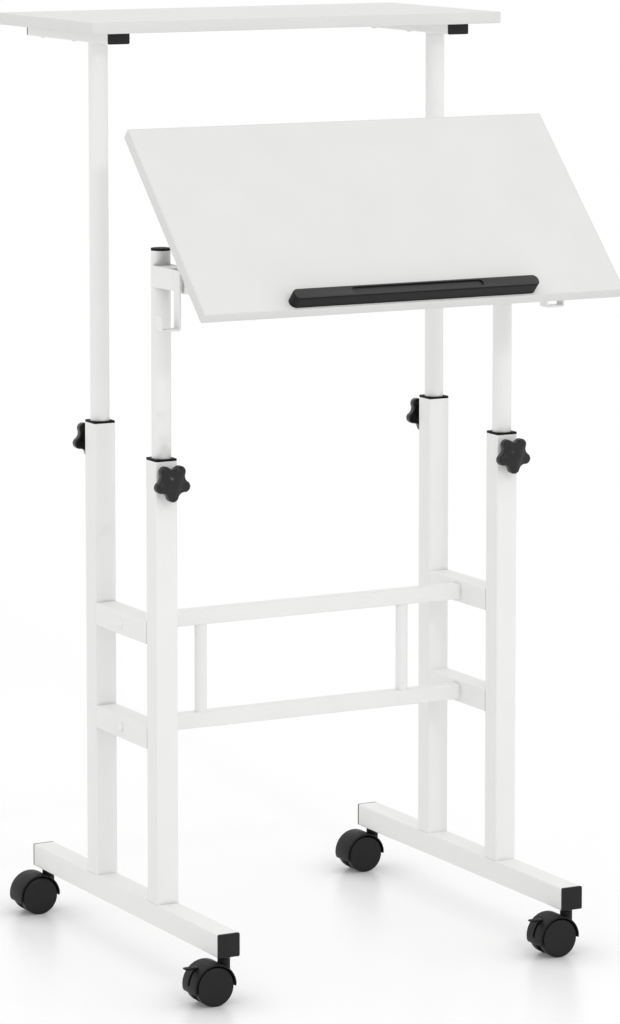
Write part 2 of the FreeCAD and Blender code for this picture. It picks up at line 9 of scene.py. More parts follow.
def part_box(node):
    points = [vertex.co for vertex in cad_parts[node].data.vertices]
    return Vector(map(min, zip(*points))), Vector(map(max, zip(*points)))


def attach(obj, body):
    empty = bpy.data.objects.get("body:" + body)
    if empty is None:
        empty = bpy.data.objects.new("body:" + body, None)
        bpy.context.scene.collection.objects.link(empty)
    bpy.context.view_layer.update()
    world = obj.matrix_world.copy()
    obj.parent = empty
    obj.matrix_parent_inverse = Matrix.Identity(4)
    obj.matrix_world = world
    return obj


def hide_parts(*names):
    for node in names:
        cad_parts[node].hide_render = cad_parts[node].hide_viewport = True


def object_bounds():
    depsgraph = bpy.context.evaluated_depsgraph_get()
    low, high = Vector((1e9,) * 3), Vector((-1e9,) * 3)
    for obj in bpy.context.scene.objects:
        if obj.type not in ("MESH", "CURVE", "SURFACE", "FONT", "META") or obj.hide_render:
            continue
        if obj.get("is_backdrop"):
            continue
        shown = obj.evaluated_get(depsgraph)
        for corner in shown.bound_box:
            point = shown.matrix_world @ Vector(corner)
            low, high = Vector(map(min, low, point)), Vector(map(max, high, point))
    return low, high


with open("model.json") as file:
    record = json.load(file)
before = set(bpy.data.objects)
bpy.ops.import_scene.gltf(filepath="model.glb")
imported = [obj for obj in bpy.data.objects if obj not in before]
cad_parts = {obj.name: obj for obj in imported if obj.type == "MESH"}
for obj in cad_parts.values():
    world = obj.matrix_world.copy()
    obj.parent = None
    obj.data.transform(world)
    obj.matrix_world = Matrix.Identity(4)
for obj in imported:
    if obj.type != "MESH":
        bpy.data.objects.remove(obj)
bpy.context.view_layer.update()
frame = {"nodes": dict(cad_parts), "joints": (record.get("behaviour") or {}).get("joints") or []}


# Foot tubes: the two square steel tubes that carry the columns and the castors.
# Cut, drilled and welded to the rest of the base, then powder coated white in one go.
# The solids already have the tubes' shape, so here they only get their coat.
mm = 0.001
sides = (("left", -1), ("right", 1))
coat_light = (0.89, 0.89, 0.88, 1)
coat_dark = (0.87, 0.87, 0.86, 1)
# darkest tone of the painted shade that the coat takes in inside corners and at joints
coat_corner_shade = (0.68, 0.68, 0.67, 1)


def put(tree, kind, inputs=None, **settings):
    """A shader node with its settings, and its inputs set to values or linked to sockets."""
    node = tree.nodes.new("ShaderNode" + kind)
    for name, value in settings.items():
        setattr(node, name, value)
    for socket, value in (inputs or {}).items():
        if isinstance(value, bpy.types.NodeSocket):
            tree.links.new(value, node.inputs[socket])
        else:
            node.inputs[socket].default_value = value
    return node


def new_group(name, inputs, outputs):
    """An empty node group with its sockets, its input node and its output node."""
    group = bpy.data.node_groups.new(name, "ShaderNodeTree")
    for socket, value in inputs.items():
        made = group.interface.new_socket(socket, in_out="INPUT", socket_type="NodeSocketFloat")
        made.default_value = value
    for socket in outputs:
        group.interface.new_socket(socket, in_out="OUTPUT", socket_type="NodeSocketFloat")
    return group, group.nodes.new("NodeGroupInput"), group.nodes.new("NodeGroupOutput")


def make_fine_grain():
    """Fine grain as a height, and a slow mottle, both from 0 to 1."""
    group, start, end = new_group("fine_grain", {"Grain": 1000.0, "Mottle": 10.0}, ("Height", "Mottle"))
    place = put(group, "TexCoord").outputs["Object"]
    grain = put(group, "TexNoise", {"Vector": place, "Scale": start.outputs["Grain"], "Detail": 2.0})
    mottle = put(group, "TexNoise", {"Vector": place, "Scale": start.outputs["Mottle"], "Detail": 4.0})
    group.links.new(grain.outputs["Fac"], end.inputs["Height"])
    group.links.new(mottle.outputs["Fac"], end.inputs["Mottle"])
    return group


def make_corner_shade():
    """A painted-shade mask from ambient occlusion: 1 deep in an inside corner or close under a part, 0 on
    open faces, over a set reach.
    """
    group, start, end = new_group("corner_shade", {"Reach": 10 * mm, "Open": 0.8, "Shut": 0.4}, ("Depth",))
    near = put(group, "AmbientOcclusion", {"Distance": start.outputs["Reach"]}, samples=8)
    limits = {"From Min": start.outputs["Open"], "From Max": start.outputs["Shut"]}
    depth = put(group, "MapRange", {"Value": near.outputs["AO"], **limits})
    group.links.new(depth.outputs["Result"], end.inputs["Depth"])
    return group


fine_grain = make_fine_grain()
corner_shade = make_corner_shade()


def place_group(tree, group, inputs):
    """Put a node group in a material with its own values, and give its outputs."""
    node = put(tree, "Group", node_tree=group)
    for socket, value in inputs.items():
        node.inputs[socket].default_value = value
    return node.outputs


def ramp(tree, factor, low, high, start=0.3, end=0.7):
    """A colour between two tones."""
    node = put(tree, "ValToRGB", {"Fac": factor})
    node.color_ramp.elements[0].position = start
    node.color_ramp.elements[0].color = low
    node.color_ramp.elements[1].position = end
    node.color_ramp.elements[1].color = high
    return node


def between(tree, factor, low, high):
    """A value between two limits, from a factor of 0 to 1."""
    return put(tree, "MapRange", {"Value": factor, "To Min": low, "To Max": high}).outputs["Result"]


def new_material(name, specular):
    """A plain material, its nodes and its shader's inputs."""
    material = bpy.data.materials.new(name)
    material.use_nodes = True
    tree = material.node_tree
    shader = tree.nodes["Principled BSDF"]
    shader.inputs["Specular IOR Level"].default_value = specular
    return material, tree, shader.inputs


def grained(name, low, high, grain, depth, rough, specular, mottle=14.0, strength=0.35):
    """A coated, moulded or plated finish: mottled tone, uneven gloss and fine grain."""
    material, tree, shader = new_material(name, specular)
    texture = place_group(tree, fine_grain, {"Grain": grain, "Mottle": mottle})
    bump = put(tree, "Bump", {"Height": texture["Height"], "Strength": strength, "Distance": depth})
    tone = ramp(tree, texture["Mottle"], low, high)
    tone.name = "tone"
    tree.links.new(tone.outputs["Color"], shader["Base Color"])
    tree.links.new(between(tree, texture["Mottle"], rough[0], rough[1]), shader["Roughness"])
    tree.links.new(bump.outputs["Normal"], shader["Normal"])
    return material


def coated(name, shade_colour, **limits):
    """White powder coat, darkened by painted shade in inside corners and close to other parts."""
    material = grained(name, coat_dark, coat_light, grain=700.0, depth=0.12 * mm, rough=(0.42, 0.52),
                       specular=0.3)
    tree = material.node_tree
    tone = tree.nodes["tone"]
    # Painted shade: the mask lowers the tone's factor, so the ramp runs down to the shade colour in
    # corners.
    depth = place_group(tree, corner_shade, limits)["Depth"]
    drop = put(tree, "Math", {0: depth, 1: 0.5}, operation="MULTIPLY")
    mottle = tone.inputs["Fac"].links[0].from_socket
    factor = put(tree, "Math", {0: mottle, 1: drop.outputs["Value"]}, operation="SUBTRACT")
    tree.links.new(factor.outputs["Value"], tone.inputs["Fac"])
    deepest_shade = tone.color_ramp.elements.new(0.0)
    deepest_shade.color = shade_colour
    return material


# The frame's coat, with painted shade within 10 mm of inside corners.
powder_coat = coated("white_powder_coat", coat_corner_shade)


def dress(material, *nodes):
    """Give solids that keep their own shape their finish."""
    for node in nodes:
        solid = frame["nodes"][node]
        solid.data.materials.clear()
        solid.data.materials.append(material)


dress(powder_coat, "left_foot", "right_foot")


# Foot end caps: moulded black plugs pushed into the ends of the foot tubes.
# A flat square head with softened edges shows, and the plug behind it grips the tube.
foot_low, foot_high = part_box("left_foot")
tube_side = foot_high.x - foot_low.x
tube_corner = 2 * mm
cap_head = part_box("foot_end_caps")[1].y - foot_high.y
cap_plug = 5 * mm
cap_plug_inset = 1.7 * mm
cap_edge = 0.5 * mm
sharp_edge = math.radians(40)  # faces that meet at more than this keep a crisp edge
moulded_dark = (0.0095, 0.0095, 0.01, 1)
moulded_light = (0.0135, 0.0135, 0.014, 1)


def rounded_rectangle(width, height, corner, steps=4):
    """Points round a rectangle with rounded corners."""
    points = []
    for quarter, (x, y) in enumerate(((1, 1), (-1, 1), (-1, -1), (1, -1))):
        centre_x = x * (width / 2 - corner)
        centre_y = y * (height / 2 - corner)
        for step in range(steps + 1):
            angle = (quarter + step / steps) * math.pi / 2
            points.append((centre_x + corner * math.cos(angle), centre_y + corner * math.sin(angle)))
    return points


def shrunk(points, inset, least_lean=0.4):
    """An outline moved inwards by the same amount all round, apart from very sharp corners."""
    moved = []
    for index, point in enumerate(points):
        here = Vector(point)
        back = (here - Vector(points[index - 1])).normalized()
        ahead = (Vector(points[(index + 1) % len(points)]) - here).normalized()
        bisector = Vector((-back.y - ahead.y, back.x + ahead.x)).normalized()
        lean = max(bisector.dot(Vector((-back.y, back.x))), least_lean)
        moved.append(tuple(here + bisector * (inset / lean)))
    return moved


def quarter_turn(steps):
    """Angles from 0 to 90 degrees in equal steps."""
    return [step / steps * math.pi / 2 for step in range(steps + 1)]


def eased(points, low, high, rounding, steps=4):
    """Outlines from one height to another whose upper edge is a quarter round."""
    rows = [(points, low)]
    for turn in quarter_turn(steps):
        outline = shrunk(points, rounding * (1 - math.cos(turn)))
        rows.append((outline, high - rounding * (1 - math.sin(turn))))
    return rows


def slab(points, low, high):
    """Outlines of a slab with plain edges."""
    return [(points, low), (points, high)]


def seat(origin, up, along):
    """Axes at a place, z pointing up and x pointing along."""
    up = Vector(up).normalized()
    along = Vector(along).normalized()
    turn = Matrix((along, up.cross(along), up)).transposed().to_4x4()
    return Matrix.Translation(origin) @ turn


def skin(bm, rings, closed=False):
    """Faces from ring to ring of points, with flat ends or back onto the first ring."""
    pairs = list(zip(rings, rings[1:]))
    if closed:
        pairs.append((rings[-1], rings[0]))
    bands = []
    for lower, upper in pairs:
        count = len(lower)
        bands.append([bm.faces.new((lower[i], lower[(i + 1) % count], upper[(i + 1) % count], upper[i]))
                      for i in range(count)])
    if not closed:
        bm.faces.new(rings[0][::-1])
        bm.faces.new(rings[-1])
    return bands


def stack(bm, rows, place, closed=False):
    """Skin a pile of outlines, each given with its height."""
    rings = []
    for points, height in rows:
        rings.append([bm.verts.new(place @ Vector((x, y, height))) for x, y in points])
    return skin(bm, rings, closed)


def to_mesh(name, bm, *materials):
    """A finished mesh, smooth except across its sharp edges."""
    bmesh.ops.recalc_face_normals(bm, faces=bm.faces)
    mesh = bpy.data.meshes.new(name)
    bm.to_mesh(mesh)
    bm.free()
    for material in materials:
        mesh.materials.append(material)
    mesh.shade_smooth()
    mesh.set_sharp_from_angle(angle=sharp_edge)
    return mesh


def fit(name, bm, materials, body, slot, *nodes):
    """Put a piece in the scene, on its body and in place of its solids."""
    thing = bpy.data.objects.new(name, to_mesh(name, bm, *materials))
    bpy.context.scene.collection.objects.link(thing)
    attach(thing, body)
    if nodes:
        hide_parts(*nodes)


black_plastic = grained("black_plastic", moulded_dark, moulded_light, grain=1600.0, depth=0.1 * mm,
                        rough=(0.4, 0.52), specular=0.25)


def cap_tube(bm, tube):
    """Push a plug with a flat head into both ends of a tube that runs from front to back."""
    low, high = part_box(tube)
    middle = (low + high) / 2
    head = rounded_rectangle(high.x - low.x, high.z - low.z, tube_corner)
    rows = slab(shrunk(head, cap_plug_inset), -cap_plug, 0) + eased(head, 0, cap_head, cap_edge)
    for y, outwards in ((low.y, -1), (high.y, 1)):
        stack(bm, rows, seat((middle.x, y, middle.z), (0, outwards, 0), (1, 0, 0)))


caps = bmesh.new()
for side, sign in sides:
    cap_tube(caps, side + "_foot")
fit("foot_caps", caps, [black_plastic], "base", "black_plastic", "foot_end_caps")


# Columns: four square steel tubes that stand on the feet and hold the sliding posts.
# Each is welded to its foot along the back, where the bead shows least, and coated with the base.
weld_radius = 1.4 * mm
weld_ripple = 1.1 * mm
weld_dip = 0.85  # width of a bead between two ripples, as a share
ends = (("front", -1), ("rear", 1))
corners = [(side + "_" + end, outwards) for side, sign in sides for end, outwards in ends]
columns = [corner + "_column" for corner, outwards in corners]
dress(powder_coat, *columns)


def circle(radius, count=64):
    """Points round a circle."""
    return [(radius * math.cos(2 * math.pi * i / count), radius * math.sin(2 * math.pi * i / count))
            for i in range(count)]


def bead(bm, path, radius, across, closed=False):
    """A rippled weld bead along a path; across is a direction that the path never takes."""
    rings = []
    for index, point in enumerate(path):
        before = path[index - 1] if closed or index else point
        after = path[(index + 1) % len(path)] if closed or index + 1 < len(path) else point
        heading = (after - before).normalized()
        side = heading.cross(across).normalized()
        up = side.cross(heading)
        swell = radius * (1.0 if index % 2 else weld_dip)
        rings.append([bm.verts.new(point + side * x + up * y) for x, y in circle(swell, 8)])
    skin(bm, rings, closed)


def straight_bead(bm, start, end, radius=weld_radius):
    """A weld bead along a straight seam."""
    start = Vector(start)
    end = Vector(end)
    count = max(2, round((end - start).length / weld_ripple))
    path = [start.lerp(end, step / count) for step in range(count + 1)]
    across = Vector((0, 0, 1)) if abs(end.z - start.z) < mm else Vector((0, 1, 0))
    bead(bm, path, radius, across)


foot_welds = bmesh.new()
for column in columns:
    low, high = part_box(column)
    start = (low.x + tube_corner, high.y, low.z)
    straight_bead(foot_welds, start, (high.x - tube_corner, high.y, low.z))
fit("foot_welds", foot_welds, [powder_coat], "base", "white_powder_coat")


# Guide collars: moulded sleeves in the tops of the columns that the posts slide in.
# A thin square flange rests on the column, and the bore has a small lead-in.
post_radius = (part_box("left_rear_post")[1].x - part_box("left_rear_post")[0].x) / 2
slide_room = 0.05 * mm
collar_bore = post_radius + slide_room
collar_lead = 0.7 * mm
collar_flange = 3 * mm
collar_sleeve = 60 * mm
collar_sleeve_inset = 1.6 * mm


def onto_circle(points, radius):
    """The same points in the same directions, on a circle."""
    return [tuple(Vector(point).normalized() * radius) for point in points]


def even_square(side, corner, count=64):
    """A rounded square whose points lie in evenly spread directions."""
    half = side / 2
    points = []
    for x, y in circle(1, count):
        reach = half / max(abs(x), abs(y))
        point = Vector((x * reach, y * reach))
        inner = half - corner
        if min(abs(point.x), abs(point.y)) > inner:
            centre = Vector((math.copysign(inner, x), math.copysign(inner, y)))
            point = centre + (point - centre).normalized() * corner
        points.append(tuple(point))
    return points


collar_black = grained("collar_plastic", moulded_dark, moulded_light, grain=1600.0, depth=0.05 * mm,
                       rough=(0.5, 0.6), specular=0.08)


def top_of(tube):
    """The middle of an upright tube's upper end."""
    low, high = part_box(tube)
    return Vector(((low.x + high.x) / 2, (low.y + high.y) / 2, high.z))


flange = even_square(tube_side, tube_corner)
bore = onto_circle(flange, collar_bore)
rows = slab(shrunk(flange, collar_sleeve_inset), -collar_sleeve, 0)
rows += eased(flange, 0, collar_flange, cap_edge)
rows.append((onto_circle(flange, collar_bore + collar_lead), collar_flange))
rows += slab(bore, -collar_sleeve, collar_flange - collar_lead)[::-1]
collars = bmesh.new()
for column in columns:
    stack(collars, rows, Matrix.Translation(top_of(column)), closed=True)
fit("guide_collars", collars, [collar_black], "base", "black_plastic", "column_collars")


# Side rails, crossbars and spindles: the steel tubes that tie the four columns together.
# Rails are welded between the columns from below and spindles between the crossbars, then coated.
levels = ("upper", "lower")
rails = [side + "_" + level + "_rail" for side, sign in sides for level in levels]
spindle_radius = 8 * mm
seam_radius = 0.6 * mm
dress(powder_coat, "upper_crossbar", "lower_crossbar", "crossbar_spindles", *rails)


def round_bead(bm, centre, axis, radius):
    """A fine weld bead round a tube or a bush."""
    place = seat(centre, axis, Vector(axis).orthogonal())
    count = 2 * round(math.pi * radius / weld_ripple)
    path = [place @ Vector((x, y, 0)) for x, y in circle(radius, count)]
    bead(bm, path, seam_radius, Vector(axis), closed=True)


rail_welds = bmesh.new()
for rail in rails:
    low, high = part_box(rail)
    for y in (low.y, high.y):
        straight_bead(rail_welds, (low.x + tube_corner, y, low.z), (high.x - tube_corner, y, low.z))
spindle_low, spindle_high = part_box("crossbar_spindles")
for x in (spindle_low.x + spindle_radius, spindle_high.x - spindle_radius):
    for z in (spindle_low.z, spindle_high.z):
        centre = (x, (spindle_low.y + spindle_high.y) / 2, z)
        round_bead(rail_welds, centre, (0, 0, 1), spindle_radius)
fit("rail_welds", rail_welds, [powder_coat], "base", "white_powder_coat")


# Crossbar bolts: one through each side rail into the end of a crossbar.
# Steel with a low domed head, painted white to match the frame.
bolt_shank = 3 * mm
bolt_grip = 12 * mm
bolt_head = 6 * mm
bolt_rim = 0.8 * mm
bolt_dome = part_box("crossbar_bolts")[1].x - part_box("right_upper_rail")[1].x - bolt_rim
bolts = bmesh.new()
for rail in rails:
    low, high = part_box(rail)
    sign = 1 if low.x > 0 else -1
    outer_x = high.x if sign > 0 else low.x
    place = seat((outer_x, (low.y + high.y) / 2, (low.z + high.z) / 2), (sign, 0, 0), (0, 0, 1))
    shank_end = low.x - high.x - bolt_grip
    rows = [(circle(bolt_shank), shank_end), (circle(bolt_shank), 0), (circle(bolt_head), 0)]
    for turn in quarter_turn(7)[:-1]:
        rows.append((circle(bolt_head * math.cos(turn)), bolt_rim + bolt_dome * math.sin(turn)))
    stack(bolts, rows, place)
fit("bolt_domes", bolts, [powder_coat], "base", "white_powder_coat", "crossbar_bolts")


# Clamp bosses: short threaded bushes welded to the columns for the knobs' studs.
# Turned steel with a broken edge, coated with the frame.
boss_radius = 7 * mm
stud_radius = 4 * mm
boss_bore = stud_radius + slide_room
boss_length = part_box("clamp_bosses")[1].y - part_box("left_rear_column")[1].y
boss_edge = 0.8 * mm
joint_place = {joint["name"]: Vector(joint["pos_m"]) for joint in frame["joints"] if "pos_m" in joint}
bosses = bmesh.new()
for corner, outwards in corners:
    low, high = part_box(corner + "_column")
    face_point = joint_place[corner + "_knob_turn"].copy()
    face_point.y = high.y if outwards > 0 else low.y
    rows = [(circle(boss_bore), 0)] + eased(circle(boss_radius), 0, boss_length, boss_edge)
    rows.append((circle(boss_bore + boss_edge), boss_length))
    rows.append((circle(boss_bore), boss_length - boss_edge))
    stack(bosses, rows, seat(face_point, (0, outwards, 0), (1, 0, 0)), closed=True)
    round_bead(bosses, face_point, (0, outwards, 0), boss_radius)
fit("boss_bushes", bosses, [powder_coat], "base", "white_powder_coat", "clamp_bosses")


# Castor stems: black plated steel pins under the feet, each held by a nut in the tube.
# The collar sits under the foot, and the plain end below it turns in the castor.
stem_low, stem_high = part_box("castor_stems")
stem_radius = 4 * mm
stem_collar = 8 * mm
stem_collar_height = 3 * mm
stem_edge = 0.6 * mm
stem_nut_seat = 1.5 * mm
nut_across = 13 * mm * math.cos(math.pi / 6)  # over the flats, where 13 mm is over the corners
nut_height = 6 * mm
plated_dark = (0.010, 0.010, 0.011, 1)
plated_light = (0.016, 0.016, 0.017, 1)
black_plate = grained("black_plated_steel", plated_dark, plated_light, grain=900.0, depth=0.05 * mm,
                      rough=(0.3, 0.42), specular=0.5)


def hexagon(across, count=60):
    """A hexagon by its distance across flats, its points in evenly spread directions."""
    points = []
    for x, y in circle(1, count):
        angle = math.atan2(y, x) % (math.pi / 3) - math.pi / 6
        points.append((x * across / 2 / math.cos(angle), y * across / 2 / math.cos(angle)))
    return points


def pillow(points, low, high, rounding, steps=3):
    """Outlines of a slab whose lower and upper edges are both quarter rounds."""
    upper = eased(points, low, high, rounding, steps)[1:]
    lower = [(outline, low + high - height) for outline, height in upper]
    return lower[::-1] + upper


def bored(bm, outline, bore, height, edge, place):
    """A nut or a washer: a slab with eased edges and a round bore."""
    rows = pillow(outline, 0, height, edge) + slab(circle(bore, len(outline)), 0, height)[::-1]
    stack(bm, rows, place, closed=True)


stems = bmesh.new()
for corner, outwards in corners:
    foot_under = joint_place[corner + "_castor_swivel"]
    place = Matrix.Translation(foot_under)
    pin_bottom = stem_low.z - foot_under.z
    pin_top = stem_high.z - foot_under.z
    rows = [(circle(stem_radius - stem_edge), pin_bottom), (circle(stem_radius), pin_bottom + stem_edge)]
    rows.append((circle(stem_radius), -stem_collar_height))
    rows += pillow(circle(stem_collar), -stem_collar_height, 0, stem_edge)
    rows += [(circle(stem_radius), 0), (circle(stem_radius), pin_top)]
    stack(stems, rows, place)
    nut_seat = place @ Matrix.Translation((0, 0, stem_nut_seat))
    bored(stems, hexagon(nut_across), stem_radius, nut_height, stem_edge, nut_seat)
fit("stem_pins", stems, [black_plate], "base", "black_steel", "castor_stems")


# Castor hoods: moulded nylon forks whose arched cover hangs over both wheels.
# A web between the wheels carries the axle, and the boss on top takes the stem.
wheel_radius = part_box("left_front_outer_wheel")[1].z / 2
hood_radius = wheel_radius + 4 * mm
hood_inside = wheel_radius + 2 * mm
hood_half = 19 * mm
hood_edge = 1.4 * mm
hood_start = math.radians(-2)
hood_end = math.radians(198)
hood_end_thickness = (0.45, 0.85)  # of the last two steps of the cover, as a share
web_half = 6 * mm
web_start = hood_start + math.radians(1)
web_end = hood_end - math.radians(1)
hub_radius = 9 * mm
trail = joint_place["left_front_castor_swivel"].x - joint_place["left_front_outer_wheel_spin"].x
web_overlap = 0.5 * mm
boss_gap = 0.3 * mm
boss_top = joint_place["left_front_castor_swivel"].z - wheel_radius - stem_collar_height - boss_gap
castor_boss = 8 * mm
pin_depth = 22 * mm
axle_radius = 3 * mm
axle_half = hood_half - 3.4 * mm
pedal_slot_half = 2.4 * mm
pedal_slot_start = math.radians(124)
pedal_slot_end = math.radians(178)
castor_dark = (0.008, 0.008, 0.0085, 1)
castor_light = (0.011, 0.011, 0.0115, 1)
castor_black = grained("castor_nylon", castor_dark, castor_light, grain=2200.0, depth=0.05 * mm,
                       rough=(0.42, 0.52), specular=0.18)
axle_line = Matrix.Rotation(math.radians(90), 4, "X")  # lays a stack's height along the axle
cut_room = 0.05 * mm  # keeps the faces of joined and cut shapes apart
wheel_points = 96


def polar(radius, angle):
    """A point in the upright plane of a wheel, seen from the front."""
    return radius * math.cos(angle), radius * math.sin(angle)


def arc(radius, start, end, count):
    """Points along a part of a circle."""
    return [polar(radius, start + (end - start) * step / count) for step in range(count + 1)]


def hood_cover(bm):
    """The arched cover, a thin strip with round outer edges swept over the wheels."""
    section = [(hood_inside, -hood_half)]
    for turn_sign in (-1, 1):
        corner = []
        for turn in quarter_turn(4):
            reach = hood_radius - hood_edge * (1 - math.sin(turn))
            corner.append((reach, turn_sign * (hood_half - hood_edge * (1 - math.cos(turn)))))
        section += corner if turn_sign < 0 else corner[::-1]
    section.append((hood_inside, hood_half))
    steps = 48
    rings = []
    for step in range(steps + 1):
        angle = hood_start + (hood_end - hood_start) * step / steps
        from_end = min(step, steps - step)
        thickness = hood_end_thickness[from_end] if from_end < len(hood_end_thickness) else 1.0
        ring = []
        for reach, y in section:
            x, z = polar(hood_inside + (reach - hood_inside) * thickness, angle)
            ring.append(bm.verts.new((x, y, z)))
        rings.append(ring)
    skin(bm, rings)


def block(rows, place):
    """A mesh of one stack, for joining or cutting."""
    bm = bmesh.new()
    stack(bm, rows, place)
    return to_mesh("block", bm)


def cut_or_join(name, base, tools):
    """The base mesh with each tool's stack joined to it or cut from it."""
    thing = bpy.data.objects.new(name, base)
    bpy.context.scene.collection.objects.link(thing)
    helpers = []
    for operation, rows, place in tools:
        helper = bpy.data.objects.new(name + "_tool", block(rows, place))
        bpy.context.scene.collection.objects.link(helper)
        change = thing.modifiers.new(operation, "BOOLEAN")
        change.operation = operation
        change.solver = "EXACT"
        change.object = helper
        helpers.append(helper)
    bpy.context.view_layer.update()
    changed = thing.evaluated_get(bpy.context.evaluated_depsgraph_get())
    bm = bmesh.new()
    bm.from_mesh(changed.to_mesh())
    changed.to_mesh_clear()
    for helper in helpers + [thing]:
        bpy.data.objects.remove(helper)
    return bm


def castor_hood(braked):
    """The cover, the web with its boss, and the axle, with a slot for the pedal where there is a brake."""
    cover = bmesh.new()
    hood_cover(cover)
    web = arc(hood_inside + web_overlap, web_start, web_end, 40)
    web += arc(hub_radius, web_end, web_start + 2 * math.pi, 20)
    upright = Matrix.Translation((trail, 0, 0))
    tools = [("UNION", slab(web, -web_half, web_half), axle_line),
             ("UNION", eased(circle(castor_boss), 0, boss_top, stem_edge), upright)]
    for sign in (-1, 1):
        near, far = sorted((sign * (web_half - cut_room), sign * (hood_half + mm)))
        wheel_space = slab(circle(hood_inside - cut_room, wheel_points), near, far)
        tools.append(("DIFFERENCE", wheel_space, axle_line))
    pin_hole = slab(circle(stem_radius + slide_room), boss_top - pin_depth, boss_top + mm)
    tools.append(("DIFFERENCE", pin_hole, upright))
    if braked:
        slot = arc(2 * hood_inside, pedal_slot_start, pedal_slot_end, 8)
        slot += [polar(hub_radius, pedal_slot_end), polar(hub_radius, pedal_slot_start)]
        tools.append(("DIFFERENCE", slab(slot, -pedal_slot_half, pedal_slot_half), axle_line))
    bm = cut_or_join("hood", to_mesh("cover", cover), tools)
    stack(bm, pillow(circle(axle_radius, 32), -axle_half, axle_half, stem_edge), axle_line)
    return bm


for corner, outwards in corners:
    castor = corner + "_castor"
    hood = castor_hood(braked="front" in corner)
    bmesh.ops.translate(hood, verts=hood.verts, vec=joint_place[corner + "_outer_wheel_spin"])
    fit(castor + "_cover", hood, [castor_black], castor, "castor_plastic", castor + "_hood")


# Castor wheels: two moulded nylon wheels on each axle.
# The outer face is a plain shallow disc, and the inner face is hollowed behind the rim.
wheel_gap = 0.4 * mm
wheel_width = hood_half - web_half - 2 * wheel_gap
wheel_black = grained("wheel_nylon", castor_dark, castor_light, grain=1800.0, depth=0.04 * mm,
                      rough=(0.36, 0.46), specular=0.25)
# The inner side by radius and height, and the outer face by radius and drop, in mm
wheel_shape = ((4, 0), (8.5, 0), (9.5, 0.6), (10, 3.5), (20.4, 3.5), (21.2, 0.8), (22, 0), (23.8, 0),
               (24.6, 0.4), (25, 1.3))
wheel_face = ((25, 2.2), (24.8, 1.2), (24.2, 0.45), (23.3, 0.1), (22.4, 0), (21.9, 0), (14, -0.15),
              (6, -0.1))
for corner, outwards in corners:
    for which, facing in (("outer", outwards), ("inner", -outwards)):
        wheel = corner + "_" + which + "_wheel"
        inner_face = joint_place[wheel + "_spin"] + Vector((0, facing * (web_half + wheel_gap), 0))
        rows = [(circle(radius * mm, wheel_points), height * mm) for radius, height in wheel_shape]
        for radius, drop in wheel_face:
            rows.append((circle(radius * mm, wheel_points), wheel_width - drop * mm))
        disc = bmesh.new()
        stack(disc, rows, seat(inner_face, (0, facing, 0), (1, 0, 0)))
        fit(wheel + "_disc", disc, [wheel_black], wheel, "wheel_plastic", wheel)


# Brake pedals: moulded toe levers on the axles of the front castors.
# An arm comes out through the slot in the hood and ends in a flat tab with soft corners.
pedal_half = 2 * mm
pedal_ring = 7 * mm
pedal_arm_half = 2.5 * mm
pedal_angle = math.radians(132)
pedal_tab_half = 4.5 * mm
pedal_edge = 0.5 * mm
pedal_arm_length = hood_radius + 1.4 * mm
# The tab seen from the front, in mm from the axle
tab_outline = ((-34.4, 24.8), (-35.1, 24.2), (-35.1, 22.9), (-34.2, 22.2), (-28, 21.9), (-19.7, 21.9),
               (-17.4, 24), (-17.2, 24.7))


def brake_pedal():
    """The tab, the arm and the ring round the axle, as one moulding."""
    tab = [(x * mm, z * mm) for x, z in tab_outline]
    along = Vector((math.cos(pedal_angle), 0, math.sin(pedal_angle)))
    arm_seat = seat((0, 0, 0), (0, 1, 0), along)
    arm = [(0, -pedal_arm_half), (pedal_arm_length, -pedal_arm_half), (pedal_arm_length, pedal_arm_half),
           (0, pedal_arm_half)]
    arm_depth = pedal_half - cut_room
    tools = [("UNION", pillow(circle(pedal_ring), -pedal_half, pedal_half, pedal_edge), axle_line),
             ("UNION", slab(arm, -arm_depth, arm_depth), arm_seat),
             ("DIFFERENCE", slab(circle(axle_radius + slide_room), -hood_half, hood_half), axle_line)]
    plate = block(pillow(tab, -pedal_tab_half, pedal_tab_half, pedal_edge), axle_line)
    return cut_or_join("pedal", plate, tools)


for side, sign in sides:
    pedal = side + "_brake_pedal"
    toe_lever = brake_pedal()
    bmesh.ops.translate(toe_lever, verts=toe_lever.verts, vec=joint_place[pedal + "_press"])
    fit(pedal + "_moulding", toe_lever, [castor_black], pedal, "castor_plastic", pedal)


# Rear posts and shelf arms: round steel posts that slide in the rear columns, a flat tube on each.
# Each arm is welded across its post and coated with it, and its ends have moulded caps.
dress(powder_coat, "left_rear_post", "right_rear_post", "left_shelf_arm", "right_shelf_arm")
arm_caps = bmesh.new()
arm_welds = bmesh.new()
for side, sign in sides:
    cap_tube(arm_caps, side + "_shelf_arm")
    round_bead(arm_welds, top_of(side + "_rear_post"), (0, 0, 1), post_radius)
fit("arm_caps", arm_caps, [black_plastic], "shelf_lift", "black_plastic", "shelf_arm_caps")
fit("arm_welds", arm_welds, [powder_coat], "shelf_lift", "white_powder_coat")


# Top shelf: particle board with white laminate on both faces and a glued edge band.
# Screws from below hold it to the arms, so its top is bare.
board_corner = 2 * mm
board_edge = 0.9 * mm
band_width = 1.6 * mm
band_groove = 0.1 * mm
laminate_light = (0.79, 0.79, 0.775, 1)
laminate_dark = (0.77, 0.77, 0.755, 1)
# The edge band is a little darker than the laminate: partly its own tone, partly painted shade on the
# board's edges.
band_light = (0.75, 0.75, 0.735, 1)
band_dark = (0.73, 0.73, 0.715, 1)
laminate = grained("white_laminate", laminate_dark, laminate_light, grain=1300.0, depth=0.05 * mm,
                   rough=(0.46, 0.54), specular=0.2)
edge_band = grained("white_edge_band", band_dark, band_light, grain=900.0, depth=0.05 * mm,
                    rough=(0.4, 0.48), specular=0.35)


